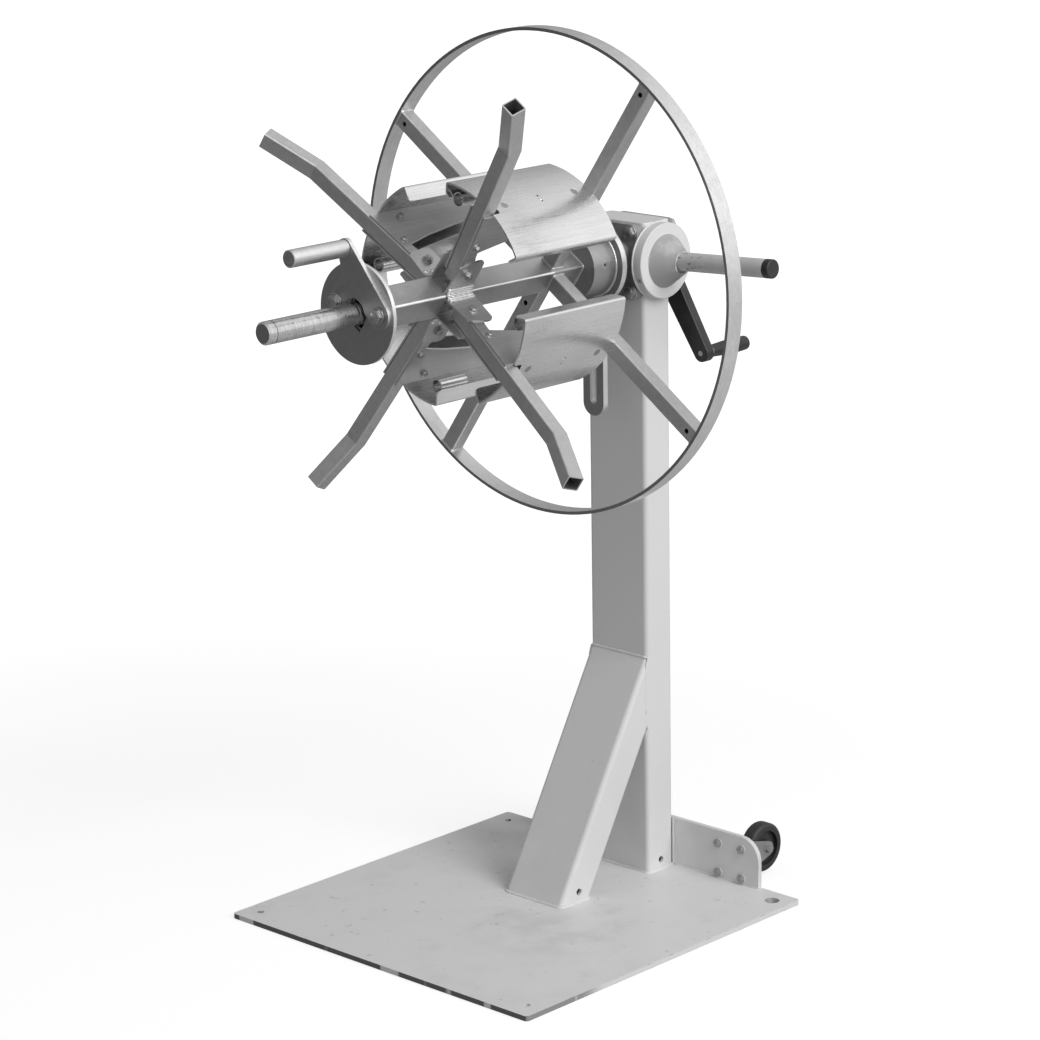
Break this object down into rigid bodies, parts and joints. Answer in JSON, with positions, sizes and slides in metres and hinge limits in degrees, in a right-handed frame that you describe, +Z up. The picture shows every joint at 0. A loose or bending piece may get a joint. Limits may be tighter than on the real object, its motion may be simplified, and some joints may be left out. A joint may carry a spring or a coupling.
{
  "type": "cable drum jack",
  "caption": "Floor stand with a cantilevered spindle on flange bearings, carrying a coil reel with folding front arms, curved core shells, a rear ring, two cranks and rear castors",
  "frame": {"origin": "middle of the underside of the base plate, on the floor", "axes": "+Z up, +Y from the free end of the spindle towards the post, +X to the right for a person facing the free end"},
  "size_m": [0.7399, 0.933, 1.37],
  "materials": {
    "stand_paint": "semi-matt light grey paint",
    "zinc_fasteners": "zinc plated",
    "wheel_rubber": "matt black rubber",
    "cast_housing": "dark grey painted casting",
    "ground_steel": "ground steel",
    "spindle_steel": "worn bright bar",
    "cap_plastic": "black moulded plastic",
    "crank_plastic": "black moulded plastic",
    "grip_aluminium": "turned aluminium",
    "plate_steel": "laser-cut steel plate with bright edges",
    "tube_steel": "drawn square tube, clear coated",
    "ring_steel": "rolled flat bar",
    "sheet_steel": "folded sheet",
    "shell_sheet": "bright brushed sheet"
  },
  "bodies": {
    "stand": {"base_plate": "stand_paint", "post": "stand_paint", "post_cap": "stand_paint", "brace": "stand_paint", "wheel_bracket": "stand_paint", "castor_bolts": "zinc_fasteners", "castor_fork_left": "zinc_fasteners", "castor_fork_right": "zinc_fasteners", "castor_axles": "zinc_fasteners", "front_bearing": "cast_housing", "rear_bearing": "cast_housing", "bearing_bolts": "zinc_fasteners", "handle_boss_left": "stand_paint", "handle_boss_right": "stand_paint", "handle_rod_left": "stand_paint", "handle_rod_right": "stand_paint", "handle_cap_left": "cap_plastic", "handle_cap_right": "cap_plastic"},
    "reel": {"spindle": "spindle_steel", "hub_tube": "tube_steel", "hub_sleeve": "tube_steel", "hub_bushes": "ground_steel", "front_disc": "plate_steel", "crank_plate": "plate_steel", "crank_bolts": "zinc_fasteners", "front_grip_pin": "ground_steel", "driver_barrel": "plate_steel", "driver_plate": "plate_steel", "driver_screw": "zinc_fasteners", "bearing_races": "ground_steel", "pivot_bolts": "zinc_fasteners", "shell_screws": "zinc_fasteners", "stub_tubes": "tube_steel", "ring": "ring_steel", "rear_crank": "crank_plastic", "rear_grip_pin": "zinc_fasteners", "rear_arm_1": "tube_steel", "corner_bracket_1": "sheet_steel", "shell_1": "shell_sheet", "shell_leg_1": "sheet_steel", "rear_arm_2": "tube_steel", "corner_bracket_2": "sheet_steel", "shell_2": "shell_sheet", "shell_leg_2": "sheet_steel", "rear_arm_3": "tube_steel", "corner_bracket_3": "sheet_steel", "shell_3": "shell_sheet", "shell_leg_3": "sheet_steel", "rear_arm_4": "tube_steel", "corner_bracket_4": "sheet_steel", "shell_4": "shell_sheet", "shell_leg_4": "sheet_steel"},
    "grip_front": {"front_grip": "grip_aluminium"},
    "grip_rear": {"rear_grip": "crank_plastic"},
    "castor_left": {"wheel_left": "wheel_rubber"},
    "castor_right": {"wheel_right": "wheel_rubber"},
    "arm_1": {"front_arm_1": "tube_steel"},
    "arm_2": {"front_arm_2": "tube_steel"},
    "arm_3": {"front_arm_3": "tube_steel"},
    "arm_4": {"front_arm_4": "tube_steel"}
  },
  "joints": [
    {"name": "reel_spin", "type": "hinge", "parent": "stand", "child": "reel", "pos_m": [0, 0, 1], "axis": [0, 1, 0], "continuous": true},
    {"name": "arm_1_fold", "type": "hinge", "parent": "reel", "child": "arm_1", "pos_m": [0.03155, -0.12945, 1.04505], "axis": [0.8192, 0, -0.5736], "range_deg": [0, 60]},
    {"name": "arm_2_fold", "type": "hinge", "parent": "reel", "child": "arm_2", "pos_m": [-0.04505, -0.12945, 1.03155], "axis": [0.5736, 0, 0.8192], "range_deg": [0, 60]},
    {"name": "arm_3_fold", "type": "hinge", "parent": "reel", "child": "arm_3", "pos_m": [-0.03155, -0.12945, 0.95495], "axis": [-0.8192, 0, 0.5736], "range_deg": [0, 60]},
    {"name": "arm_4_fold", "type": "hinge", "parent": "reel", "child": "arm_4", "pos_m": [0.04505, -0.12945, 0.96845], "axis": [-0.5736, 0, -0.8192], "range_deg": [0, 60]},
    {"name": "front_grip_spin", "type": "hinge", "parent": "reel", "child": "grip_front", "pos_m": [-0.015, -0.37, 1.094], "axis": [0, 1, 0], "continuous": true},
    {"name": "rear_grip_spin", "type": "hinge", "parent": "reel", "child": "grip_rear", "pos_m": [0.09538, 0.4, 0.84735], "axis": [0, 1, 0], "continuous": true},
    {"name": "wheel_left_spin", "type": "hinge", "parent": "stand", "child": "castor_left", "pos_m": [-0.179, 0.38, 0.045], "axis": [1, 0, 0], "continuous": true},
    {"name": "wheel_right_spin", "type": "hinge", "parent": "stand", "child": "castor_right", "pos_m": [0.179, 0.38, 0.045], "axis": [1, 0, 0], "continuous": true}
  ]
}
